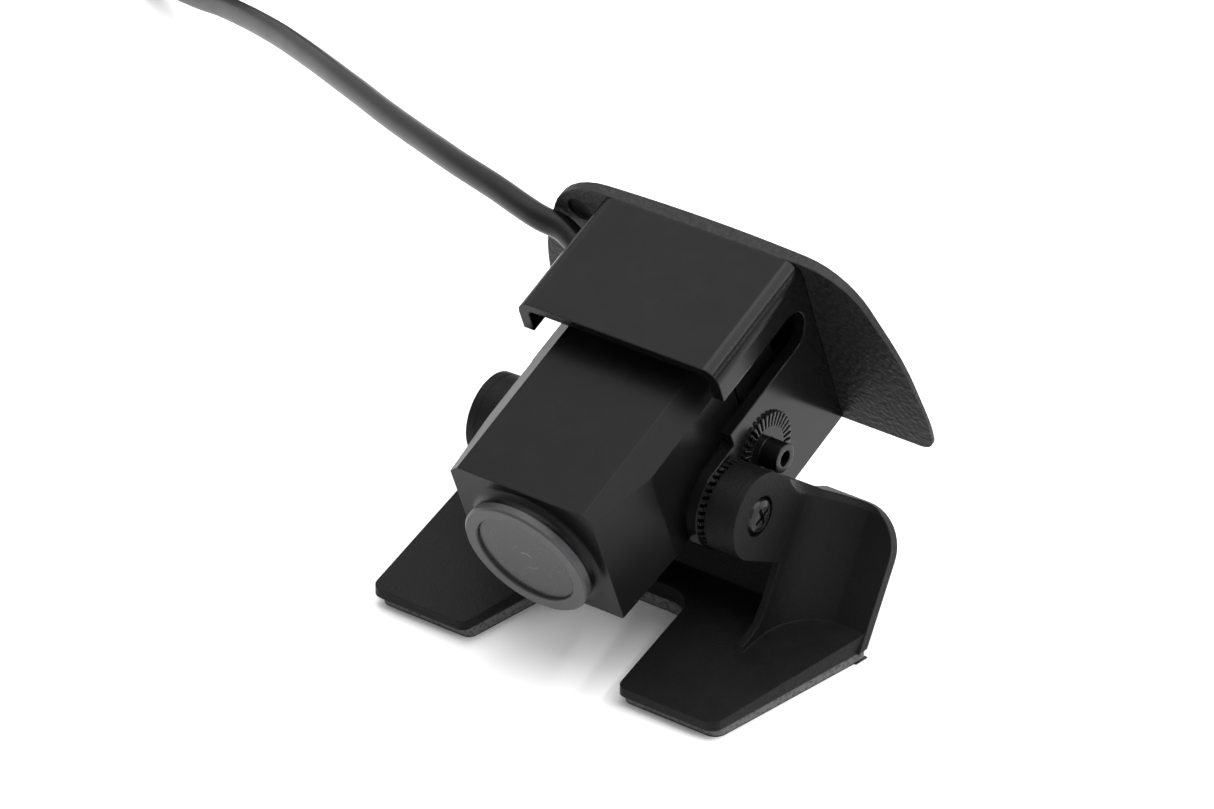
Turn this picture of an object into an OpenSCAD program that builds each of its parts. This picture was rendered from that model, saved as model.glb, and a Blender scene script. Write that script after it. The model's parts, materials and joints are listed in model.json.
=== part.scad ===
// Backup camera: a camera housing in a tilting shroud, on an adhesive foot bracket.
// Millimetres, +Z up. The lens looks towards -Y, nose down. The origin lies on the pad's
// underside, in the middle of the rear strip. The head is drawn in its own frame: x is the
// pivot axis, y runs rearward along the lens axis and z is square to both.

/* [Foot bracket] */
// Length of the foot, from its front edge to the heel of the rear wall
foot_len = 31.6; // [30:0.2:34]
// Half width of the foot along its front edge
foot_half_front = 31.3; // [29:0.1:33]
// Half width of the foot at the rear wall
foot_half_rear = 36.8; // [35:0.1:39]
// Thickness of the foot at its front edge
foot_t_front = 1.5; // [1:0.1:2]
// Thickness of the foot at the rear wall
foot_t_rear = 2.8; // [2.2:0.1:3.4]
// Half width of the notch at the front
notch_half_front = 14.0; // [13:0.1:17]
// Half width of the notch at its inner end
notch_half_rear = 10.2; // [9:0.1:13]
// Depth of the notch
notch_depth = 25.0; // [24:0.1:28]
// Backward lean of the rear wall, in degrees
wall_lean = 29; // [20:1:35]
// Thickness of the rear wall
wall_t = 1.9; // [1.5:0.1:2.4]
// Height of the rear wall along its slope
wall_h = 18.5; // [17.8:0.1:19]

/* [Ears and pivot] */
// Outer face of each ear, from the middle
ear_out = 24.3; // [23.5:0.1:26]
// Thickness of each ear
ear_t = 1.4; // [1.2:0.1:1.6]
// Radius of the ear's round end and of its toothed boss
ear_r = 6.8; // [6.4:0.1:7]
// Distance from the rear wall to the pivot
ear_reach = 18.65; // [17:0.05:20]
// Height of the pivot along the slope of the rear wall
ear_height = 13.6; // [13:0.1:14]
// Radius of the hollow that the screw head sits in
head_recess_r = 3.2; // [3:0.05:3.4]
// Teeth on each toothed face
teeth = 36; // [24:1:48]
// Height of the teeth
tooth_h = 0.5; // [0.3:0.05:0.6]

/* [Shroud] */
// Nose-down tilt of the head, in degrees
head_tilt = 21.4; // [0:0.1:30]
// Half width over the shroud's side walls
shroud_half = 18.0; // [17.5:0.1:18]
// Height of the hood's top above the pivot
hood_top = 22.6; // [21.5:0.1:24]
// Front edge of the hood, behind the pivot
hood_front = 5.9; // [4:0.1:8]
// Front face of the cover plate, behind the pivot
plate_face = 28.7; // [28:0.1:30]
// Lower edge of the hood's side lips, which is the slot's upper edge
slot_top = 16.6; // [16:0.1:17]
// Upper edge of the arms, which is the slot's lower edge
slot_bottom = 9.7; // [9:0.1:10.5]
// Lower edge of the arms
arm_bottom = -11.5; // [-13:0.1:-10]
// Distance from the pivot to the spare pivot station
spare_pitch = 10.8; // [10.6:0.1:11.4]

/* [Cover plate] */
// Half width of the plate near its straight lower edge
plate_half = 34.4; // [32:0.1:37]
// Top of the plate above the pivot
plate_top = 22.6; // [22:0.1:24]
// Straight lower edge of the plate
plate_bottom = -12.0; // [-13:0.1:-11.5]
// Thickness of the plate in the middle
plate_t = 2.3; // [1.8:0.1:3]

/* [Camera housing] */
// Front face, ahead of the pivot
body_front = -21.3; // [-23:0.1:-20]
// Flat half width of the top face
body_top_half = 11.2; // [10:0.1:12]
// Half width of the rear part
body_half = 14.6; // [14:0.1:15.2]
// Half width of the front face
body_half_front = 12.8; // [12.4:0.1:13.5]
// Top of the housing above the pivot
body_top = 17.5; // [16.5:0.1:18.2]
// Underside of the housing
body_bottom = -5.5; // [-6.5:0.1:-4.5]
// Height of the lens axis above the pivot
lens_z = 5.4; // [4.8:0.1:6]
// Outer radius of the lens bezel
bezel_r = 10.6; // [10:0.1:11]
// Radius of the window
window_r = 8.3; // [7.5:0.1:8.5]

/* [Pad and cable] */
// Thickness of the foam pad
foam_t = 1.8; // [1.2:0.1:2.4]
// Thickness of the release liner
liner_t = 0.2; // [0.1:0.05:0.3]
// Diameter of the cable
cable_d = 4; // [3.6:0.1:4.2]

/* [Hidden] */
$fn = 64;

// Foot
pad_t = foam_t + liner_t;
foot_front_y = -30;
heel_y = foot_front_y + foot_len;
wall_foot_y = foot_front_y + 31;
wall_foot_z = pad_t + foot_t_rear;
ear_in = ear_out - ear_t;
pivot_y = wall_foot_y - ear_reach * cos(wall_lean) + ear_height * sin(wall_lean);
pivot_z = wall_foot_z + ear_reach * sin(wall_lean) + ear_height * cos(wall_lean);
ear_low = ear_height - ear_r;
fillet_r = 8;
fillet_bevel = 0.95;
fillet_axis = [ear_out + fillet_r - 0.05, 0.05 - fillet_r];
gap_low = 7;
rib_t = 1.2;
ear_slope_end = [-fillet_r - 1, wall_h + 0.8];
ear_rise = ear_slope_end + [ear_reach, -ear_height];
ear_turn = atan2(ear_rise.y, ear_rise.x) + acos(ear_r / norm(ear_rise));
ear_slope_start = [-ear_reach, ear_height] + 0.995 * ear_r * [cos(ear_turn), sin(ear_turn)];
tooth_in_r = 4.2;
tooth_gap = 0.05;
stub_r = 2.3;
stub_bore_r = 2.4;
screw_r = 1.5;
screw_clear_r = 1.6;
boss_face = shroud_half + tooth_h + tooth_gap;
web_in = 21.95;
head_floor = 23.2;

// Shroud
side_t = 1.9;
hood_t = 1.5;
back_t = 1.9;
hood_bend_r = 2.5;
back_front = plate_face - back_t;
slot_end = 26.5;
slot_r = (slot_top - slot_bottom) / 2;
slot_mid = (slot_top + slot_bottom) / 2;
arm_end_r = 7.2;
arm_step = 5.2;
stub_end = 21.7;
spare_tooth_r = 6.3;
pilot_r = 1.25;

// Cover plate
plate_dome_r = 360;
plate_screw_x = 6.5;
plate_screw_z = 1;

// Camera
seam = 12;
seam_gap = 0.3;
body_rear = 21.5;
body_wall = 1.6;
taper_start = -9.3;
neck_half = 9.6;
neck_bottom = -3.9;
neck_top = 16.9;
nose_front = -23.2;
bezel_front = -24.6;
seat_y = -22.55;
housing_screw_x = 11.9;
housing_screw_z = [-1.5, 8.5];
board_half = 9.8;
board_low = -3.6;
board_high = 14.6;
post_x = 8.3;
post_z = [lens_z - 7.4, lens_z + 7.4];
sensor_board_y = -6;
board_t = 1.2;
processor_board_y = 3.2;
gland_y = 23.2;
gland_z = 13.6;
gland_end = 17;

// Cable
cable_r = cable_d / 2;
coil_r = 22;
coil_turns = 4;
coil_centre = [-190, 134];
coil_in = [-0.6, -0.8];
coil_pitch = cable_d + 0.2;
coil_height = cable_d + coil_turns * coil_pitch;
coil_start = coil_centre + coil_r * coil_in;
tail_top = cable_r + coil_turns * coil_pitch;
collar_r = 7;
connector_start = [-193.6, 145.2, 27.9];
lead_route = [
    [-17.05, 7.9, 46.9], [-19, 7.9, 46.9], [-22, 9.3, 47.7], [-25.6, 10.6, 48.4], [-30, 10.9, 48.7],
    [-35, 12.5, 48.6], [-40.5, 14.8, 48.2], [-46, 17.3, 47.4], [-52.2, 20.3, 46.3], [-59, 24, 44.9],
    [-66, 28.1, 43.2], [-73.4, 32.6, 41.3], [-81.2, 37.6, 39.2], [-89.4, 43, 37], [-98.2, 48.8, 34.5],
    [-107.2, 55, 31.7], [-116.6, 61.5, 28.6], [-126.2, 68.2, 25.2], [-136, 74.8, 21.6], [-145.4, 81, 18],
    [-154.6, 86.8, 14.4], [-163, 91.6, 11.1], [-172, 97, 7.8], [-181, 102.2, 5], [-189.4, 107.3, 3],
    [-196.6, 111.8, 2.1], [coil_start.x, coil_start.y, cable_r]
];
tail_route = [
    [coil_start.x, coil_start.y, tail_top], [-207.5, 121.4, 19.5], [-209.5, 128, 21.2],
    [-208.8, 134.2, 23.4], [-205.8, 139.8, 25.6], [-201, 143.6, 27.2], [-196, 145.1, 27.8], connector_start
];

// ---- Small helpers ----

function unit(v) = v / norm(v);

// Arc of radius r that rounds the corner b between its neighbours a and c
function corner(a, b, c, r, n) =
    let (
        u = unit(a - b),
        w = unit(c - b),
        half = acos(u * w) / 2,
        centre = b + unit(u + w) * r / sin(half),
        spoke = b + u * r / tan(half) - centre,
        sweep = (cross(u, w) < 0 ? 1 : -1) * (180 - 2 * half)
    )
    [for (k = [0 : n]) let (t = sweep * k / n)
        centre + [spoke.x * cos(t) - spoke.y * sin(t), spoke.x * sin(t) + spoke.y * cos(t)]];

// Outline p with the corner radii r; a radius of 0 keeps the corner sharp
function rounded(p, r, n = 7) =
    let (m = len(p))
    [for (i = [0 : m - 1])
        each (r[i] == 0 ? [p[i]] : corner(p[(i + m - 1) % m], p[i], p[(i + 1) % m], r[i], n))];

// Mirrors a half outline, listed from the bottom up on the +x side, into a whole one
function mirrored(h) = concat(h, [for (i = [len(h) - 1 : -1 : 0]) [-h[i].x, h[i].y]]);

// Outline of a toothed face: the radius steps between r_in and r_out
function tooth_outline(r_in, r_out) =
    [for (i = [0 : teeth - 1]) for (c = [[-0.25, r_out], [0.25, r_out], [0.25, r_in], [0.75, r_in]])
        let (a = 360 * (i + c[0]) / teeth) c[1] * [cos(a), sin(a)]];

module both_sides() {
    for (s = [0, 1]) mirror([s, 0, 0]) children();
}

// A 2D shape in y and z, drawn out along x from x0 to x1
module along_x(x0, x1) {
    translate([x0, 0, 0]) rotate([90, 0, 90]) linear_extrude(x1 - x0) children();
}

// A 2D shape in x and z, drawn out along y from y0 to y1
module along_y(y0, y1) {
    translate([0, y1, 0]) rotate([90, 0, 0]) linear_extrude(y1 - y0) children();
}

module rod_x(x0, x1, r) {
    translate([x0, 0, 0]) rotate([0, 90, 0]) cylinder(h = x1 - x0, r = r);
}

module rod_y(y0, y1, r) {
    translate([0, y0, 0]) rotate([-90, 0, 0]) cylinder(h = y1 - y0, r = r);
}

module toothed_face(x0, x1, r_out) {
    along_x(x0, x1) polygon(tooth_outline(tooth_in_r, r_out));
}

module wall_frame() {
    translate([0, wall_foot_y, wall_foot_z]) rotate([-wall_lean, 0, 0]) children();
}

module head_frame() {
    translate([0, pivot_y, pivot_z]) rotate([head_tilt, 0, 0]) children();
}

// A 2D profile of radius and distance along the lens axis, turned about that axis
module turned() {
    translate([0, 0, lens_z]) rotate([-90, 0, 0]) rotate_extrude() children();
}

// ---- Foot bracket and pad ----

// Plan of the foot, drawn in by inset at the front and by side at the outer edges
module foot_plan(inset, side, heel) {
    front = foot_front_y + inset;
    notch_y = foot_front_y + notch_depth;
    corners = [
        [-foot_half_front + side, front], [-notch_half_front, front],
        [-notch_half_rear, notch_y], [notch_half_rear, notch_y],
        [notch_half_front, front], [foot_half_front - side, front],
        [foot_half_rear - side, heel], [-foot_half_rear + side, heel]
    ];
    polygon(rounded(corners, [2, 1.5, 5, 5, 1.5, 2, 0, 0]));
}

module foot_floor() {
    intersection() {
        translate([0, 0, pad_t]) linear_extrude(foot_t_rear + 1) foot_plan(0, 0, heel_y);
        along_x(-foot_half_rear, foot_half_rear) polygon([
            [foot_front_y, pad_t], [heel_y, pad_t],
            [wall_foot_y, wall_foot_z], [foot_front_y, pad_t + foot_t_front]
        ]);
    }
}

// The wall is cut away between the ears, where the arms swing through
module rear_wall() {
    gap = [
        [ear_in - 0.4, wall_h + 1], [ear_in - 0.4, gap_low],
        [-ear_in + 0.4, gap_low], [-ear_in + 0.4, wall_h + 1]
    ];
    outline = [
        [foot_half_rear, -5], [foot_half_rear + 0.3, wall_h],
        [-foot_half_rear - 0.3, wall_h], [-foot_half_rear, -5]
    ];
    wall_frame() difference() {
        along_y(0, wall_t) polygon(rounded(outline, [0, 7, 7, 0], 10));
        along_y(-1, wall_t + 1) polygon(rounded(gap, [0, 5, 5, 0]));
    }
}

// One ear: the tab square to the wall, its toothed boss, the sweep into the wall and the rib below
module ear() {
    wall_frame() {
        along_x(ear_in, ear_out) {
            translate([-ear_reach, ear_height]) circle(ear_r);
            polygon([
                [-ear_reach, ear_low], [0.5, ear_low], [0.5, wall_h], [-3, wall_h], ear_slope_end,
                ear_slope_start, [-ear_reach, ear_height]
            ]);
        }
        translate([0, -ear_reach, ear_height]) rod_x(boss_face + tooth_h, ear_in + 0.5, ear_r - 0.05);
        translate([0, 0, -9]) linear_extrude(wall_h + 9) difference() {
            translate([ear_out - 0.3, -fillet_r]) square([fillet_r + 0.2, fillet_r + 0.3]);
            translate(fillet_axis) circle(fillet_r);
        }
        along_x(ear_out - rib_t, ear_out) polygon([
            [0.5, ear_low + 0.2], [-8.6, ear_low + 0.2], [-8.5, 0.5], [-9.2, -3],
            [-10.7, -5.2], [-12, -6.4], [-12, -9], [0.5, -9]
        ]);
    }
    translate([0, pivot_y, pivot_z]) toothed_face(boss_face, boss_face + tooth_h + 0.2, ear_r - 0.15);
}

module foot_bracket() {
    color("#1c1c1d") difference() {
        union() {
            foot_floor();
            rear_wall();
            both_sides() ear();
        }
        translate([-60, -60, pad_t - 20]) cube([120, 120, 20]);
        both_sides() wall_frame() translate([fillet_axis.x, fillet_axis.y, wall_h - fillet_bevel - 1])
            cylinder(h = fillet_bevel + 2, r1 = fillet_r - 0.8, r2 = fillet_r + 0.8 * (fillet_bevel + 1));
        both_sides() translate([0, pivot_y, pivot_z]) {
            rod_x(boss_face - 1, web_in, stub_bore_r);
            rod_x(web_in - 1, head_floor + 1, screw_clear_r);
            rod_x(head_floor, ear_out + 1, head_recess_r);
        }
    }
}

module foam_pad() {
    color("#4c4c4e") translate([0, 0, liner_t]) linear_extrude(foam_t) foot_plan(1.5, 0.5, heel_y);
}

// The liner has a pull tab at its right rear corner
module release_liner() {
    tab = [[foot_half_rear - 5, 0], [foot_half_rear - 0.5, heel_y - 2], [foot_half_rear - 0.2, heel_y + 0.5],
        [foot_half_rear - 4, heel_y + 0.5]];
    color("#3a3a3b") linear_extrude(liner_t) {
        foot_plan(1.5, 0.5, heel_y);
        polygon(tab);
    }
}

// ---- Shroud and cover plate ----

// Side view of the shroud: the hood, the slot below it and the arm that ends at the pivot
module shroud_side() {
    difference() {
        union() {
            polygon([
                [plate_face, arm_bottom], [plate_face, hood_top], [hood_front, hood_top],
                [hood_front, slot_bottom], [arm_step, slot_bottom], [arm_step, arm_end_r],
                [0, arm_end_r], [0, -arm_end_r], [13, arm_bottom]
            ]);
            circle(arm_end_r);
        }
        translate([-2, slot_bottom]) square([slot_end - slot_r + 2, 2 * slot_r]);
        translate([slot_end - slot_r, slot_mid]) circle(slot_r);
    }
}

module shroud_section(half, top, bend) {
    polygon(rounded([[half, -20], [half, top], [-half, top], [-half, -20]], [0, bend, bend, 0]));
}

module spare_teeth() {
    difference() {
        translate([0, spare_pitch, 0]) toothed_face(shroud_half - 0.2, shroud_half + tooth_h, spare_tooth_r);
        rod_x(shroud_half, shroud_half + 1, ear_r + 0.3);
    }
}

module shroud() {
    color("#17181a") head_frame() difference() {
        union() {
            intersection() {
                difference() {
                    along_y(-10, plate_face) shroud_section(shroud_half, hood_top, hood_bend_r);
                    along_y(-11, back_front) shroud_section(shroud_half - side_t, hood_top - hood_t, 1);
                }
                along_x(-shroud_half, shroud_half) shroud_side();
            }
            both_sides() {
                toothed_face(shroud_half - 0.2, shroud_half + tooth_h, ear_r);
                spare_teeth();
                rod_x(shroud_half - 1, stub_end, stub_r);
                translate([0, spare_pitch, 0]) rod_x(shroud_half - 1, stub_end, stub_r);
            }
        }
        both_sides() {
            rod_x(shroud_half - 4, stub_end + 1, screw_r);
            translate([0, spare_pitch, 0]) rod_x(shroud_half - 4, stub_end + 1, pilot_r);
            translate([plate_screw_x, 0, plate_screw_z]) rod_y(back_front - 1, plate_face + 1, screw_clear_r);
        }
    }
}

// Outline of the cover plate: straight foot, bowed sides and wide round shoulders
module plate_outline() {
    half = [
        [plate_half - 0.1, plate_bottom], [plate_half + 0.1, plate_bottom + 5.5],
        [plate_half - 2, plate_bottom + 18.3], [plate_half - 9.2, plate_top]
    ];
    polygon(rounded(mirrored(half), [2.5, 20, 40, 11, 11, 40, 20, 2.5]));
}

module rear_cover_plate() {
    color("#232324") head_frame() difference() {
        intersection() {
            along_y(plate_face, plate_face + plate_t + 1) plate_outline();
            translate([0, 0, -30]) linear_extrude(80) polygon(concat(
                [[40, plate_face], [-40, plate_face]],
                [for (x = [-40 : 4 : 40]) [x, plate_face + plate_t - x * x / (2 * plate_dome_r)]]
            ));
        }
        translate([-23.2, 0, 16.8]) rod_y(plate_face - 1, plate_face + 0.5, 2.2);
        both_sides() translate([plate_screw_x, 0, plate_screw_z]) {
            rod_y(plate_face - 1, plate_face + plate_t + 1, screw_clear_r);
            rod_y(plate_face + 0.9, plate_face + plate_t + 1, 3);
        }
    }
}

// ---- Screws ----

// Pan head screw along +x with its bearing face at x = 0 and a cross recess
module pan_screw(length, r, head_r, head_h) {
    difference() {
        union() {
            rod_x(-length, 0.1, r);
            rotate([0, 90, 0]) rotate_extrude() polygon([
                [0, 0], [head_r, 0], [head_r, head_h * 0.45], [head_r * 0.9, head_h * 0.75],
                [head_r * 0.6, head_h * 0.95], [0, head_h]
            ]);
        }
        translate([head_h * 0.4, -head_r * 0.6, -head_r * 0.13]) cube([head_h, head_r * 1.2, head_r * 0.26]);
        translate([head_h * 0.4, -head_r * 0.13, -head_r * 0.6]) cube([head_h, head_r * 0.26, head_r * 1.2]);
    }
}

module pivot_screws() {
    color("#101112") head_frame() both_sides()
        translate([head_floor + tooth_gap, 0, 0]) pan_screw(6.6, screw_r, 2.75, 1.5);
}

module plate_screws() {
    color("#26272a") head_frame() both_sides()
        translate([plate_screw_x, plate_face + 0.9, plate_screw_z]) rotate([0, 0, 90])
            pan_screw(6.2, screw_r, 2.7, 1.2);
}

// ---- Camera housing ----

// Housing from y0 to y1, drawn in by inset on every side: bevelled section, front narrowed in plan
module housing_block(y0, y1, inset) {
    section = [
        [body_half - 2.2, body_bottom + inset], [body_half - inset, body_bottom + 1.8 + inset * 0.4],
        [body_half - inset, body_top - 3.1 - inset * 0.4], [body_top_half - inset * 0.4, body_top - inset]
    ];
    plan = [
        [body_half_front - inset, body_front], [body_half - inset, taper_start], [body_half - inset, 30]
    ];
    intersection() {
        along_y(y0, y1) polygon(mirrored(section));
        translate([0, 0, -10]) linear_extrude(40) polygon(mirrored(plan));
    }
}

module at_housing_screws() {
    both_sides() for (z = housing_screw_z) translate([housing_screw_x, 0, z]) children();
}

module at_board_posts() {
    both_sides() for (z = post_z) translate([post_x, 0, z]) children();
}

// Front shell: housing, flared nose, posts for the boards and bosses for the rear screws
module camera_front_shell() {
    nose = concat(
        [[6.5, body_front + 1.8], [6.5, seat_y], [8.4, seat_y], [8.4, nose_front], [10.2, nose_front]],
        [for (k = [0 : 5]) [11.5 - 1.3 * cos(18 * k), body_front - 1.3 + 1.3 * sin(18 * k)]],
        [[11.5, body_front + 1.8]]
    );
    color("#1e1f21") head_frame() difference() {
        union() {
            difference() {
                housing_block(body_front, seam - seam_gap, 0);
                housing_block(body_front + 2, seam + 1, body_wall);
            }
            turned() polygon(nose);
            intersection() {
                housing_block(body_front + 0.5, seam - seam_gap, 0.2);
                union() {
                    at_board_posts() rod_y(body_front + 0.5, sensor_board_y, 1.7);
                    at_housing_screws() rod_y(5, seam - seam_gap, 2);
                }
            }
        }
        translate([0, 0, lens_z]) rod_y(nose_front - 1, body_front + 4, 7.2);
        at_board_posts() rod_y(sensor_board_y - 6, sensor_board_y + 1, 0.8);
        at_housing_screws() rod_y(6, seam + 1, 1);
    }
}

module housing_gasket() {
    color("#111111") head_frame() difference() {
        housing_block(seam - seam_gap, seam + seam_gap, 0.5);
        housing_block(seam - 1, seam + 1, body_wall);
        at_housing_screws() rod_y(seam - 1, seam + 1, 1.1);
    }
}

module rear_neck(inset) {
    translate([-neck_half + inset, body_rear - 2, neck_bottom + inset])
        cube([
            2 * (neck_half - inset), back_front - body_rear + 2 - inset, neck_top - neck_bottom - 2 * inset
        ]);
}

// Rear cover: a cap with a hollow neck that bears on the shroud's back wall
module camera_rear_cover() {
    color("#1e1f21") head_frame() difference() {
        union() {
            difference() {
                union() {
                    housing_block(seam + seam_gap, body_rear, 0);
                    rear_neck(0);
                }
                housing_block(seam - 1, body_rear - body_wall, body_wall);
                rear_neck(body_wall);
            }
            intersection() {
                housing_block(seam + seam_gap, body_rear, 0.2);
                at_housing_screws() rod_y(seam + seam_gap, body_rear, 2.2);
            }
            both_sides() translate([plate_screw_x, 0, plate_screw_z]) rod_y(body_rear - 1, back_front, 2.6);
        }
        at_housing_screws() {
            rod_y(seam, body_rear + 1, 1.1);
            rod_y(body_rear - 1.2, body_rear + 1, 2.1);
        }
        both_sides() translate([plate_screw_x, 0, plate_screw_z]) rod_y(23, back_front + 1, screw_r);
        translate([0, gland_y, gland_z]) rod_x(-neck_half - 1, -neck_half + 2, 1.6);
    }
}

module housing_screws() {
    color("#3a3b3d") head_frame() at_housing_screws()
        translate([0, body_rear - 1.2, 0]) rotate([0, 0, 90]) pan_screw(13, 1, 1.9, 1.1);
}

// ---- Lens ----

module lens_bezel_ring() {
    color("#3b3c3f") head_frame() turned() polygon([
        [window_r + 0.1, bezel_front + 0.15], [window_r + 0.25, bezel_front], [bezel_r - 0.3, bezel_front],
        [bezel_r, bezel_front + 0.3], [bezel_r, nose_front], [window_r + 0.1, nose_front]
    ]);
}

module window_glass() {
    color("#2c2d30") head_frame() turned() translate([0, seat_y - 1.5]) square([window_r, 1.2]);
}

module window_seal() {
    color("#0c0c0c") head_frame() turned() translate([7.3, seat_y - 0.3]) square([0.9, 0.3]);
}

module lens_barrel() {
    color("#151617") head_frame() turned() polygon([
        [5, -22.2], [7, -22.2], [7, -20.4], [6, -19.8], [6, -9.4], [3.4, -9.4], [3.4, -10.6],
        [4.6, -10.6], [4.6, -20.2], [5, -20.2]
    ]);
}

// Lens element of radius r with a front of radius curve and a flat back
module lens_element(y0, y1, r, curve) {
    turned() polygon(concat(
        [[0, y1], [0, y0]],
        [for (k = [1 : 8]) let (x = r * k / 8) [x, y0 + curve - sqrt(curve * curve - x * x)]],
        [[r, y1]]
    ));
}

module front_lens() {
    color("#39465c") head_frame() lens_element(-22.1, -20.2, 5, 9);
}

module middle_lens() {
    color("#46536a") head_frame() lens_element(-18.4, -16.4, 4.6, 8);
}

module rear_lens() {
    color("#46536a") head_frame() lens_element(-13, -10.6, 4.6, 10);
}

module lens_retainer() {
    color("#202124") head_frame() turned() translate([3.7, -16.4]) square([0.9, 2.6]);
}

module lens_holder() {
    color("#161718") head_frame() difference() {
        union() {
            turned() polygon([[6.02, -14.5], [6.6, -14.5], [6.6, -9], [6.02, -9]]);
            translate([-7, -9.2, lens_z - 5.6]) cube([14, 9.2 + sensor_board_y, 11.2]);
        }
        translate([-5.6, -8.2, lens_z - 4.6]) cube([11.2, 9, 9.2]);
        translate([0, 0, lens_z]) rod_y(-10, -8, 3.8);
    }
}

module ir_filter() {
    color("#7a3f55") head_frame() translate([-4.5, -8.2, lens_z - 4.4]) cube([9, 0.4, 8.8]);
}

module image_sensor() {
    color("#2e3036") head_frame() translate([-4.2, sensor_board_y - 1.3, lens_z - 3.6]) cube([8.4, 1.3, 7.2]);
}

// ---- Electronics ----

module board(y0) {
    difference() {
        translate([-board_half, y0, board_low]) cube([2 * board_half, board_t, board_high - board_low]);
        at_board_posts() rod_y(y0 - 1, y0 + board_t + 1, 0.85);
    }
}

module sensor_board() {
    color("#1d5a34") head_frame() board(sensor_board_y);
}

module processor_board() {
    color("#1d5a34") head_frame() board(processor_board_y);
}

module board_spacers() {
    color("#c8a24a") head_frame() at_board_posts() difference() {
        rod_y(sensor_board_y + board_t, processor_board_y, 1.5);
        rod_y(sensor_board_y, processor_board_y + 1, 0.85);
    }
}

module board_link() {
    color("#202020") head_frame()
        translate([-5, sensor_board_y + board_t, 11])
            cube([10, processor_board_y - sensor_board_y - board_t, 2.6]);
}

module video_chip() {
    color("#18191b") head_frame() translate([-3.5, processor_board_y + board_t, 5]) cube([7, 0.9, 7]);
}

module board_screws() {
    color("#9a9ca0") head_frame() at_board_posts()
        translate([0, processor_board_y + board_t, 0]) rotate([0, 0, 90]) pan_screw(14, 0.8, 1.4, 0.9);
}

module wire_socket() {
    color("#d9d6c8") head_frame() translate([-4.5, processor_board_y + board_t, -2]) cube([9, 3.2, 3.6]);
}

module wire_plug() {
    color("#e6e2d4") head_frame() translate([-4.1, processor_board_y + board_t + 3.2, -1.7])
        cube([8.2, 2.6, 3]);
}

// Four cores from the plug back into the neck, where each turns to the gland
module inner_wires() {
    start = processor_board_y + board_t + 5.8;
    $fn = 24;
    color("#b03028") head_frame() for (i = [0 : 3]) {
        x = -2.7 + 1.8 * i;
        y = 22.2 + 0.6 * i;
        translate([x, 0, -0.2]) rod_y(start, y, 0.25);
        translate([x, y, -0.2]) sphere(r = 0.25);
        translate([x, y, -0.2]) cylinder(h = gland_z + 0.2, r = 0.25);
        translate([x, y, gland_z]) sphere(r = 0.25);
        translate([0, y, gland_z]) rod_x(-neck_half + body_wall + 0.8, x, 0.25);
    }
}

// ---- Cable ----

// Tapered strain relief that fills the port in the neck and ends in the slot
module cable_gland() {
    color("#141414") head_frame() translate([0, gland_y, gland_z]) {
        rod_x(-neck_half + body_wall, -neck_half + body_wall + 0.8, 1.9);
        rod_x(-neck_half - 0.5, -neck_half + body_wall + 0.5, 1.6);
        translate([-gland_end, 0, 0]) rotate([0, 90, 0])
            cylinder(h = gland_end - neck_half, r1 = 2.2, r2 = 2.5);
    }
}

function heading(p, i) = unit(p[min(i + 1, len(p) - 1)] - p[max(i - 1, 0)]);

// Closed tube of radius r with 8 sides along the points p
module cable_tube(p, r) {
    sides = 8;
    rings = len(p);
    points = [for (i = [0 : rings - 1])
        let (h = heading(p, i), side = unit(cross(h, [0, 0, 1])), up = cross(side, h))
        for (k = [0 : sides - 1]) let (a = 360 * k / sides) p[i] + r * (cos(a) * side + sin(a) * up)];
    faces = concat(
        [[for (k = [0 : sides - 1]) k]],
        [for (i = [0 : rings - 2]) for (k = [0 : sides - 1]) let (n = (k + 1) % sides)
            [i * sides + k, (i + 1) * sides + k, (i + 1) * sides + n, i * sides + n]],
        [[for (k = [sides - 1 : -1 : 0]) (rings - 1) * sides + k]]
    );
    polyhedron(points, faces, convexity = 6);
}

module cable_lead() {
    color("#121213") cable_tube(lead_route, cable_r);
}

module cable_coil() {
    color("#121213") translate([coil_centre.x, coil_centre.y, 0]) rotate_extrude()
        translate([coil_r - cable_r, 0]) square([cable_d, coil_height]);
}

module cable_tail() {
    color("#121213") cable_tube(tail_route, cable_r);
}

// The connector lies across the coil, its mouth towards +x
module connector_frame() {
    translate(connector_start) children();
}

module connector_boot() {
    color("#141414") connector_frame() rotate([0, 90, 0]) cylinder(h = 10, r1 = 2.4, r2 = 4.2);
}

module connector_body() {
    color("#17181a") connector_frame() difference() {
        rod_x(10, 24, 5.2);
        for (i = [0 : 2]) translate([11.4 + 1.8 * i, 0, 0]) difference() {
            rod_x(0, 0.8, 6);
            rod_x(-1, 2, 4.8);
        }
        rod_x(19, 25, 4.2);
    }
}

module connector_insert() {
    color("#2b2c2e") connector_frame() rod_x(19, 22.5, 4.2);
}

module connector_pins() {
    color("#c9a545") connector_frame() for (i = [0 : 3])
        rotate([90 * i + 45, 0, 0]) translate([0, 2.2, 0]) rod_x(22.5, 26, 0.5);
}

// Screw collar with grip flutes, open around the pins
module connector_collar() {
    color("#1b1c1e") connector_frame() difference() {
        rod_x(17, 30, collar_r);
        for (i = [0 : 11]) rotate([30 * i + 15, 0, 0]) translate([0, collar_r + 0.5, 0]) rod_x(18, 29, 0.9);
        rod_x(16, 25, 5.2);
        rod_x(24, 31, 5.6);
    }
}

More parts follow.
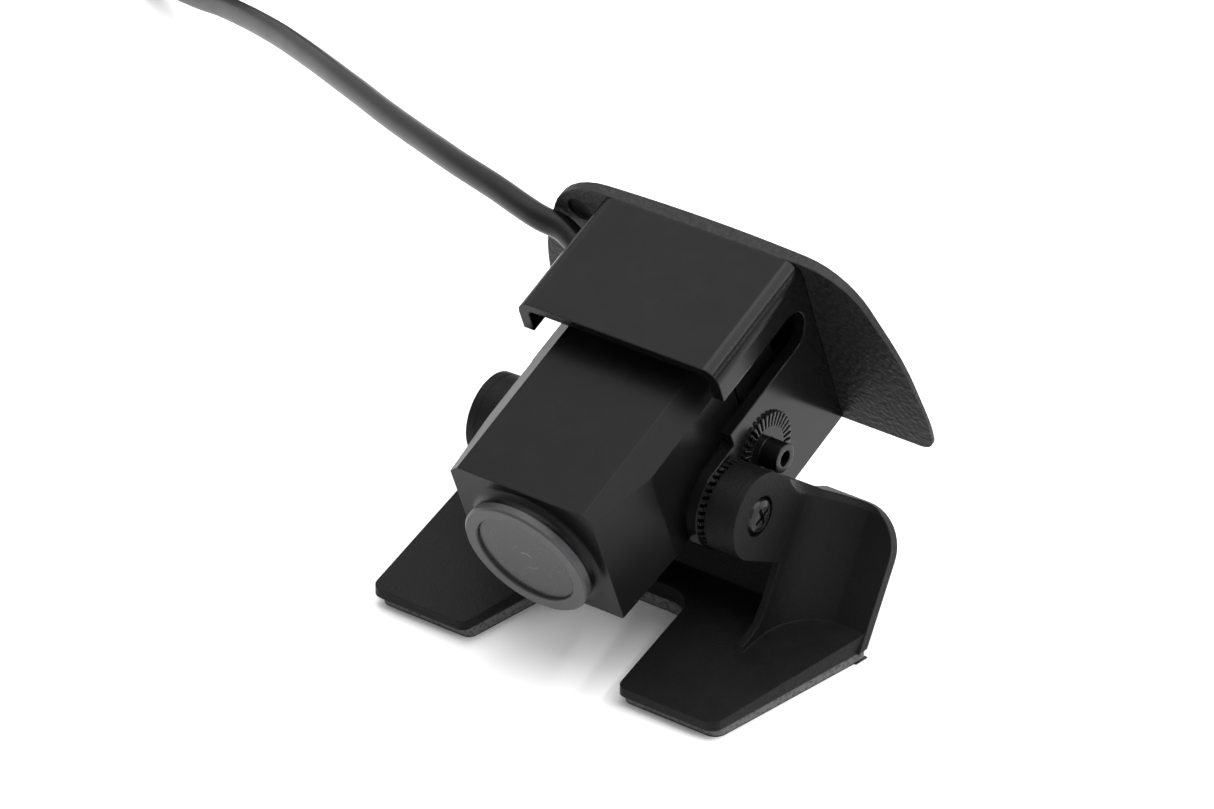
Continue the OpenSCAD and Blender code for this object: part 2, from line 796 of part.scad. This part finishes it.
foot_bracket();
foam_pad();
release_liner();
shroud();
rear_cover_plate();
pivot_screws();
plate_screws();
camera_front_shell();
camera_rear_cover();
housing_gasket();
housing_screws();
lens_bezel_ring();
window_glass();
window_seal();
lens_barrel();
front_lens();
middle_lens();
rear_lens();
lens_retainer();
lens_holder();
ir_filter();
image_sensor();
sensor_board();
board_spacers();
board_link();
processor_board();
video_chip();
board_screws();
wire_socket();
wire_plug();
inner_wires();
cable_gland();
cable_lead();
cable_coil();
cable_tail();
connector_boot();
connector_body();
connector_collar();
connector_insert();
connector_pins();
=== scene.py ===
import json
import math

import bpy
from mathutils import Matrix, Vector


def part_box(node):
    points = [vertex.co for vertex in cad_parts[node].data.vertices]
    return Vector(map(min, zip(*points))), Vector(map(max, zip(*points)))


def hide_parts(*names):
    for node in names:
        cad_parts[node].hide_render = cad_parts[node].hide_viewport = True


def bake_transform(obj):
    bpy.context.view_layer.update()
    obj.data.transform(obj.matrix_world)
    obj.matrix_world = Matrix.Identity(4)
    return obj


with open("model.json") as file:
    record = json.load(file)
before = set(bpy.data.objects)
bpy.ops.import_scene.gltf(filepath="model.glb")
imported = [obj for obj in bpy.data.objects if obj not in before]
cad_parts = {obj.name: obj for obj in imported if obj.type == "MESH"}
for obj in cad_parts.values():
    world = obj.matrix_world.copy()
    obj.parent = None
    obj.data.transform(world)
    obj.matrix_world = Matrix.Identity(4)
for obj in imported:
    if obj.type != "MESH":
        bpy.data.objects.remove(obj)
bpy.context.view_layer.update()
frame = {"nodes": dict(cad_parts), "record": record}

scene = bpy.context.scene
nodes = frame["nodes"]
HEAD_TILT = math.radians(21.4)  # how far the camera head points down at rest


# ---- Camera ----

scene.render.engine = "CYCLES"
scene.render.resolution_x = 1214
scene.render.resolution_y = 809
scene.view_settings.view_transform = "Standard"
scene.view_settings.look = "None"

AZIMUTH = math.radians(35.77)
ELEVATION = math.radians(31.29)
ROLL = math.radians(-0.21)
DISTANCE = 0.9
AIM = Vector((0, -0.0087, 0.02577))
AIM_SHIFT_RIGHT = -0.00268
AIM_SHIFT_UP = 0.00883
LENS_MM = 180.7
SENSOR_MM = 36

right = Vector((math.cos(AZIMUTH), math.sin(AZIMUTH), 0))
back = Vector((
    math.sin(AZIMUTH) * math.cos(ELEVATION), -math.cos(AZIMUTH) * math.cos(ELEVATION), math.sin(ELEVATION),
))
up = back.cross(right)
eye = AIM + back * DISTANCE + right * AIM_SHIFT_RIGHT + up * AIM_SHIFT_UP
rolled_right = right * math.cos(ROLL) - up * math.sin(ROLL)
rolled_up = right * math.sin(ROLL) + up * math.cos(ROLL)

camera = bpy.data.objects.new("camera", bpy.data.cameras.new("camera"))
scene.collection.objects.link(camera)
axes = Matrix((rolled_right, rolled_up, back)).transposed()
camera.matrix_world = Matrix.Translation(eye) @ axes.to_4x4()
camera.data.lens = LENS_MM
camera.data.sensor_width = SENSOR_MM
camera.data.clip_start = 0.01
camera.data.clip_end = 20
scene.camera = camera


# ---- Cable ----

CABLE_R = 0.002
COIL_CENTRE = Vector((-0.19, 0.134, 0))
COIL_R = 0.022
COIL_TURNS = 4
COIL_PITCH = 0.0042
COIL_START_ANGLE = math.atan2(-0.8, -0.6)
STEPS_PER_TURN = 40
STEPS_PER_SPAN = 4

# Route points in millimetres, from the gland to the coil and from the coil to the connector
LEAD = [
    (-17.05, 7.9, 46.9), (-19, 7.9, 46.9), (-22, 9.3, 47.7), (-25.6, 10.6, 48.4), (-30, 10.9, 48.7),
    (-35, 12.5, 48.6), (-40.5, 14.8, 48.2), (-46, 17.3, 47.4), (-52.2, 20.3, 46.3), (-59, 24, 44.9),
    (-66, 28.1, 43.2), (-73.4, 32.6, 41.3), (-81.2, 37.6, 39.2), (-89.4, 43, 37), (-98.2, 48.8, 34.5),
    (-107.2, 55, 31.7), (-116.6, 61.5, 28.6), (-126.2, 68.2, 25.2), (-136, 74.8, 21.6), (-145.4, 81, 18),
    (-154.6, 86.8, 14.4), (-163, 91.6, 11.1), (-172, 97, 7.8), (-181, 102.2, 5), (-189.4, 107.3, 3),
    (-196.6, 111.8, 2.1),
]
TAIL = [
    (-207.5, 121.4, 19.5), (-209.5, 128, 21.2), (-208.8, 134.2, 23.4), (-205.8, 139.8, 25.6),
    (-201, 143.6, 27.2), (-196, 145.1, 27.8), (-193.6, 145.2, 27.9),
]


def smooth(points, steps):
    """Points on a Catmull-Rom curve through the given ones."""
    p = [2 * points[0] - points[1]] + points + [2 * points[-1] - points[-2]]
    out = []
    for i in range(1, len(p) - 2):
        a, b, c, d = p[i - 1:i + 3]
        for k in range(steps):
            t = k / steps
            out.append(0.5 * (2 * b + (c - a) * t + (2 * a - 5 * b + 4 * c - d) * t * t
                              + (3 * b - a - 3 * c + d) * t ** 3))
    return out + [points[-1]]


def coil_point(turns):
    """Point on the coil after some turns, from the ground up."""
    a = COIL_START_ANGLE - 2 * math.pi * turns
    z = CABLE_R + COIL_PITCH * turns
    return COIL_CENTRE + Vector((COIL_R * math.cos(a), COIL_R * math.sin(a), z))


def tube(name, path, radius, sides=16):
    """Closed round tube along the path, its rings turned as little as possible."""
    verts, faces = [], []
    normal = Vector((0, 0, 1))
    for i, p in enumerate(path):
        ahead = (path[min(i + 1, len(path) - 1)] - path[max(i - 1, 0)]).normalized()
        normal = (normal - ahead * normal.dot(ahead)).normalized()
        across = ahead.cross(normal)
        for k in range(sides):
            a = 2 * math.pi * k / sides
            verts.append(p + radius * (math.cos(a) * normal + math.sin(a) * across))
    for i in range(len(path) - 1):
        for k in range(sides):
            n = (k + 1) % sides
            faces.append((i * sides + k, i * sides + n, (i + 1) * sides + n, (i + 1) * sides + k))
    faces.append(tuple(range(sides - 1, -1, -1)))
    faces.append(tuple((len(path) - 1) * sides + k for k in range(sides)))
    mesh = bpy.data.meshes.new(name)
    mesh.from_pydata([tuple(v) for v in verts], [], faces)
    mesh.shade_smooth()
    obj = bpy.data.objects.new(name, mesh)
    scene.collection.objects.link(obj)
    return obj


lead = [Vector(p) / 1000 for p in LEAD] + [coil_point(0)]
tail = [coil_point(COIL_TURNS)] + [Vector(p) / 1000 for p in TAIL]
coil = [coil_point(k / STEPS_PER_TURN) for k in range(1, STEPS_PER_TURN * COIL_TURNS)]
route = smooth(lead, STEPS_PER_SPAN) + coil + smooth(tail, STEPS_PER_SPAN)

cable = tube("video_cable", route, CABLE_R)
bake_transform(cable)
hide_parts("cable_lead", "cable_coil", "cable_tail")


# ---- Materials ----

class Graph:
    """Short calls for building a node tree."""

    def __init__(self, tree):
        self.tree = tree
        tree.nodes.clear()

    def feed(self, n, inputs):
        """Link each input to a socket, or give it a plain value."""
        for key, value in inputs.items():
            if isinstance(value, bpy.types.NodeSocket):
                self.tree.links.new(value, n.inputs[key])
            else:
                n.inputs[key].default_value = value

    def node(self, kind, inputs=(), **settings):
        n = self.tree.nodes.new(kind)
        for key, value in settings.items():
            setattr(n, key, value)
        self.feed(n, dict(inputs))
        return n

    def maths(self, operation, a, b=0.0, clamp=False):
        return self.node("ShaderNodeMath", {0: a, 1: b}, operation=operation, use_clamp=clamp).outputs[0]

    def ramp(self, value, low, high, to_low=0.0, to_high=1.0):
        return self.node("ShaderNodeMapRange", {
            "Value": value, "From Min": low, "From Max": high, "To Min": to_low, "To Max": to_high,
        }).outputs["Result"]

    def noise(self, where, scale, detail=3.0, rough=0.5):
        return self.node("ShaderNodeTexNoise", {
            "Vector": where, "Scale": scale, "Detail": detail, "Roughness": rough,
        }).outputs["Fac"]

    def mix(self, factor, a, b):
        """Blend of two colours; sockets 6, 7 and output 2 are the colour ones of this node."""
        return self.node("ShaderNodeMix", {0: factor, 6: a, 7: b}, data_type="RGBA").outputs[2]

    def finish(self, **inputs):
        """Principled shader with these inputs, as the material's surface."""
        shader = self.node("ShaderNodeBsdfPrincipled", {k.replace("_", " "): v for k, v in inputs.items()})
        out = self.node("ShaderNodeOutputMaterial")
        self.tree.links.new(shader.outputs[0], out.inputs["Surface"])


def rgba(colour, gain=1.0, lift=0.0):
    """Colour with its brightness scaled and raised, as a shader takes it."""
    return tuple(min(1, c * gain + lift) for c in colour) + (1,)


# Texture scales per metre, how much finer brushed grain is across X, and the colour of dust
DRIFT_SCALE = 70.0
SMUDGE_SCALE = 240.0
LEATHER_SCALE = 1300.0
PORE_SCALE = 1500.0
BRUSHED_ACROSS = 14.0
DUST = (0.5, 0.49, 0.47, 1)


def finish_of(
    name, colour, rough, grain=900.0, depth=0.00003, strength=0.25, metal=0.0, specular=0.3,
    bevel=0.0003, wear_and_highlight=0.5, dust=0.003, coat=0.0, leather=False, speckle=0.0, brushed=False,
):
    """A worn, grained surface: drifting colour and gloss, fine bump, edges lightened partly as wear and
    partly as painted highlight, and a little dust.
    """
    material = bpy.data.materials.new(name)
    material.use_nodes = True
    g = Graph(material.node_tree)
    where = g.node("ShaderNodeTexCoord").outputs["Object"]
    normal_in = g.node("ShaderNodeNewGeometry").outputs["Normal"]
    drift = g.noise(where, DRIFT_SCALE, 4.0)
    smudge = g.noise(where, SMUDGE_SCALE, 5.0, 0.65)

    # Colour that drifts a little either side of the base
    tint = g.mix(g.ramp(drift, 0.35, 0.65), rgba(colour, 0.82), rgba(colour, 1.16, 0.0003))
    tint = g.mix(0.5, tint, rgba(colour))

    # Grain, drawn out along X where the surface is brushed
    stretch = (1.0, BRUSHED_ACROSS, BRUSHED_ACROSS) if brushed else (1.0, 1.0, 1.0)
    fine_at = g.node("ShaderNodeMapping", {"Vector": where, "Scale": stretch}).outputs[0]
    height = g.noise(fine_at, grain, 2.0, 0.6)
    if leather:
        cells = g.node(
            "ShaderNodeTexVoronoi", {"Vector": where, "Scale": LEATHER_SCALE, "Randomness": 1.0},
            feature="SMOOTH_F1",
        ).outputs["Distance"]
        height = g.maths("ADD", g.maths("MULTIPLY", cells, 0.8), g.maths("MULTIPLY", height, 0.45))
        tint = g.mix(g.ramp(cells, 0.15, 0.6), rgba(colour, 1.5, 0.003), tint)
    if speckle:
        pores = g.node("ShaderNodeTexVoronoi", {"Vector": where, "Scale": PORE_SCALE}).outputs["Distance"]
        tint = g.mix(g.ramp(pores, 0.2, 0.6, 0.0, speckle), tint, rgba(colour, 2.6))
        height = g.maths("ADD", height, pores)
    bumped = g.node("ShaderNodeBump", {"Height": height, "Strength": strength, "Distance": depth})

    # Rounded edges, lightened where the rounded normal leaves the flat one: partly rubbed wear, partly
    # painted highlight along the edges
    if bevel:
        round_edge = g.node("ShaderNodeBevel", {"Radius": bevel}, samples=4).outputs[0]
        g.tree.links.new(round_edge, bumped.inputs["Normal"])
        match = g.node("ShaderNodeVectorMath", {0: round_edge, 1: normal_in}, operation="DOT_PRODUCT")
        worn_and_highlit_edges = g.ramp(match.outputs["Value"], 0.995, 0.85, 0.0, wear_and_highlight)
        worn_and_highlit_edges = g.maths("MULTIPLY", worn_and_highlit_edges, g.ramp(smudge, 0.35, 0.6, 0.35, 1.0))
        # Edges made lighter in colour: rubbed wear and painted highlight
        tint = g.mix(worn_and_highlit_edges, tint, rgba(colour, 2.2, 0.008))

    # Dust on what faces up
    facing_up = g.node("ShaderNodeSeparateXYZ", {0: normal_in}).outputs["Z"]
    settled = g.maths("MULTIPLY", g.ramp(facing_up, 0.5, 1.0, 0.0, dust), g.ramp(smudge, 0.45, 0.7))
    tint = g.mix(settled, tint, DUST)

    gloss = g.maths(
        "ADD", g.ramp(drift, 0.3, 0.7, rough - 0.035, rough + 0.035), g.ramp(smudge, 0.3, 0.7, -0.02, 0.02),
        clamp=True,
    )
    g.finish(
        Base_Color=tint, Roughness=gloss, Metallic=metal, Normal=bumped.outputs[0],
        Specular_IOR_Level=specular, Coat_Weight=coat, Coat_Roughness=0.15,
    )
    return material


# Faint arcs painted into the window's colour as reflections off the lens behind it: radius and width in
# metres, start and end in radians, brightness
PAINTED_LENS_GLINTS = [
    (0.0010, 0.00022, 0.3, 2.6, 0.55),
    (0.0022, 0.00022, -1.9, -0.6, 0.28),
    (0.0024, 0.0002, 1.9, 2.9, 0.22),
]
SMOOTHEST_R = 0.0075  # the window gets smoother from its middle out to here


def window_finish(name):
    """Dark window with faint arcs painted in as reflections of the lens behind it, placed around the lens
    axis.
    """
    material = bpy.data.materials.new(name)
    material.use_nodes = True
    g = Graph(material.node_tree)
    low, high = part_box("window_glass")
    centre = (Vector(low) + Vector(high)) / 2
    where = g.node("ShaderNodeTexCoord").outputs["Object"]
    local = g.node("ShaderNodeVectorMath", {0: where, 1: centre}, operation="SUBTRACT").outputs[0]
    turned = g.node(
        "ShaderNodeVectorRotate", {"Vector": local, "Angle": -HEAD_TILT}, rotation_type="X_AXIS",
    ).outputs[0]
    xyz = g.node("ShaderNodeSeparateXYZ", {0: turned}).outputs
    flat = g.node("ShaderNodeCombineXYZ", {0: xyz["X"], 1: xyz["Z"]}).outputs[0]
    radius = g.node("ShaderNodeVectorMath", {0: flat}, operation="LENGTH").outputs["Value"]
    turn = g.maths("ARCTAN2", xyz["Z"], xyz["X"])
    painted_glints = None
    for arc_radius, width, start, end, brightness in PAINTED_LENS_GLINTS:
        off_radius = g.maths("ABSOLUTE", g.maths("SUBTRACT", radius, arc_radius))
        band = g.ramp(off_radius, width, width * 0.3)
        middle, half = (start + end) / 2, (end - start) / 2
        off_middle = g.maths("ABSOLUTE", g.maths("SUBTRACT", turn, middle))
        part = g.ramp(off_middle, half, half * 0.7)
        arc = g.maths("MULTIPLY", g.maths("MULTIPLY", band, part, clamp=True), brightness)
        painted_glints = arc if painted_glints is None else g.maths("ADD", painted_glints, arc)
    haze = g.noise(where, 180.0, 4.0)
    smoother_outward = g.ramp(radius, 0.0, SMOOTHEST_R, 1.05, 0.95)
    shade = g.mix(g.ramp(haze, 0.3, 0.7), (0.017, 0.0175, 0.0185, 1), (0.021, 0.0215, 0.0225, 1))
    # Painted reflection: the arcs lighten the window's colour
    shade = g.mix(painted_glints, shade, (0.14, 0.14, 0.15, 1))
    ripple = g.node("ShaderNodeBump", {"Height": haze, "Strength": 0.02, "Distance": 0.00002}).outputs[0]
    rough = g.maths("MULTIPLY", g.ramp(haze, 0.3, 0.7, 0.24, 0.32), smoother_outward)
    g.finish(Base_Color=shade, Roughness=rough, Normal=ripple, Specular_IOR_Level=0.25)
    return material


FINISHES = {
    "foot_plastic": dict(
        colour=(0.0028, 0.0028, 0.003), rough=0.52, grain=2600.0, depth=0.0001, strength=0.9,
        wear_and_highlight=0.45, specular=0.13,
    ),
    "foam": dict(
        colour=(0.06, 0.06, 0.062), rough=0.95, grain=1800.0, strength=0.8, bevel=0, speckle=0.5,
        specular=0.2,
    ),
    "liner_film": dict(colour=(0.012, 0.012, 0.0125), rough=0.45, bevel=0),
    "shroud_plastic": dict(
        colour=(0.003, 0.003, 0.0032), rough=0.17, grain=1100.0, strength=0.05, bevel=0.00035,
        wear_and_highlight=0.4, specular=0.16,
    ),
    "plate_plastic": dict(
        colour=(0.0055, 0.0055, 0.0057), rough=0.50, grain=2400.0, depth=0.00016, strength=1.0,
        leather=True, specular=0.25,
    ),
    "black_screw": dict(
        colour=(0.014, 0.014, 0.015), rough=0.2, metal=0.6, bevel=0.00015, wear_and_highlight=0.7,
    ),
    "housing_paint": dict(
        colour=(0.0035, 0.0035, 0.0037), rough=0.32, grain=2200.0, strength=0.12, bevel=0.00025,
        wear_and_highlight=0.8, specular=0.12,
    ),
    "gasket_rubber": dict(colour=(0.005, 0.005, 0.005), rough=0.7),
    "steel_screw": dict(
        colour=(0.42, 0.42, 0.43), rough=0.3, metal=1.0, brushed=True, specular=0.5,
    ),
    "bezel_metal": dict(
        colour=(0.036, 0.036, 0.038), rough=0.38, grain=2000.0, strength=0.15, bevel=0.0002,
        wear_and_highlight=0.6, specular=0.25,
    ),
    "lens_glass": dict(colour=(0.02, 0.03, 0.06), rough=0.06, coat=1.0, bevel=0),
    "barrel_black": dict(colour=(0.02, 0.02, 0.022), rough=0.35, metal=0.8, brushed=True),
    "holder_plastic": dict(colour=(0.012, 0.012, 0.013), rough=0.5),
    "filter_glass": dict(colour=(0.25, 0.05, 0.1), rough=0.1, coat=0.5, bevel=0),
    "sensor": dict(colour=(0.03, 0.03, 0.05), rough=0.15, bevel=0),
    "circuit_board": dict(colour=(0.012, 0.085, 0.03), rough=0.35, grain=1200.0, bevel=0),
    "brass": dict(colour=(0.7, 0.48, 0.2), rough=0.3, metal=1.0, bevel=0.0001),
    "chip": dict(colour=(0.012, 0.012, 0.013), rough=0.6, bevel=0.0001),
    "white_nylon": dict(colour=(0.7, 0.67, 0.58), rough=0.5, bevel=0.0001),
    "wire_cover": dict(colour=(0.42, 0.03, 0.02), rough=0.4, bevel=0),
    "cable_pvc": dict(
        colour=(0.0025, 0.0025, 0.0027), rough=0.34, grain=700.0, strength=0.15, bevel=0,
        specular=0.2,
    ),
    "connector_plastic": dict(colour=(0.006, 0.006, 0.0065), rough=0.45, bevel=0.0002),
}
materials = {slot: finish_of(slot, **settings) for slot, settings in FINISHES.items()}
materials["window"] = window_finish("window")

for part in frame["record"]["subparts"]:
    obj = nodes[part["node"]]
    if not obj.material_slots:
        obj.data.materials.append(None)
    for s in obj.material_slots:
        s.link = "OBJECT"
        s.material = materials[part["material_slot"]]
cable.data.materials.append(materials["cable_pvc"])


# ---- Floor and light ----

FLOOR_HALF = 4  # metres
floor_mesh = bpy.data.meshes.new("floor")
floor_corners = [(x * FLOOR_HALF, y * FLOOR_HALF, 0) for x, y in ((-1, -1), (1, -1), (1, 1), (-1, 1))]
floor_mesh.from_pydata(floor_corners, [], [(0, 1, 2, 3)])
floor = bpy.data.objects.new("floor", floor_mesh)
scene.collection.objects.link(floor)
floor_material = bpy.data.materials.new("floor")
floor_material.use_nodes = True
Graph(floor_material.node_tree).finish(
    Base_Color=(0.93, 0.93, 0.93, 1), Roughness=0.9, Specular_IOR_Level=0.1,
)
floor.data.materials.append(floor_material)

world = bpy.data.worlds.new("studio")
scene.world = world
world.use_nodes = True
sky = world.node_tree.nodes["Background"]
sky.inputs["Color"].default_value = (1, 1, 1, 1)
sky.inputs["Strength"].default_value = 0.8


def softbox(name, place, target, size, power):
    """Rectangular area light at a place, facing a target, in metres and watts."""
    light = bpy.data.lights.new(name, "AREA")
    light.shape = "RECTANGLE"
    light.size, light.size_y = size
    light.energy = power
    lamp = bpy.data.objects.new(name, light)
    scene.collection.objects.link(lamp)
    aim = (Vector(place) - Vector(target)).to_track_quat("Z", "Y")
    lamp.matrix_world = Matrix.Translation(place) @ aim.to_matrix().to_4x4()


softbox("key_left", (-0.8, 0.25, 1.36), (0, 0, 0.03), (1.5, 1.5), 7)
softbox("overhead", (0.3, 0.1, 1.9), (0, 0, 0), (2.0, 2.0), 38)
# Two narrow strips that show as bright lines along the hood's bend
softbox("bend_strip_low", (1.28, 0.45, 0.68), (0, 0, 0.06), (1.2, 0.1), 7)
softbox("bend_strip_high", (0.9, 0.3, 1.17), (0, 0, 0.06), (1.2, 0.08), 6)

bpy.context.view_layer.update()
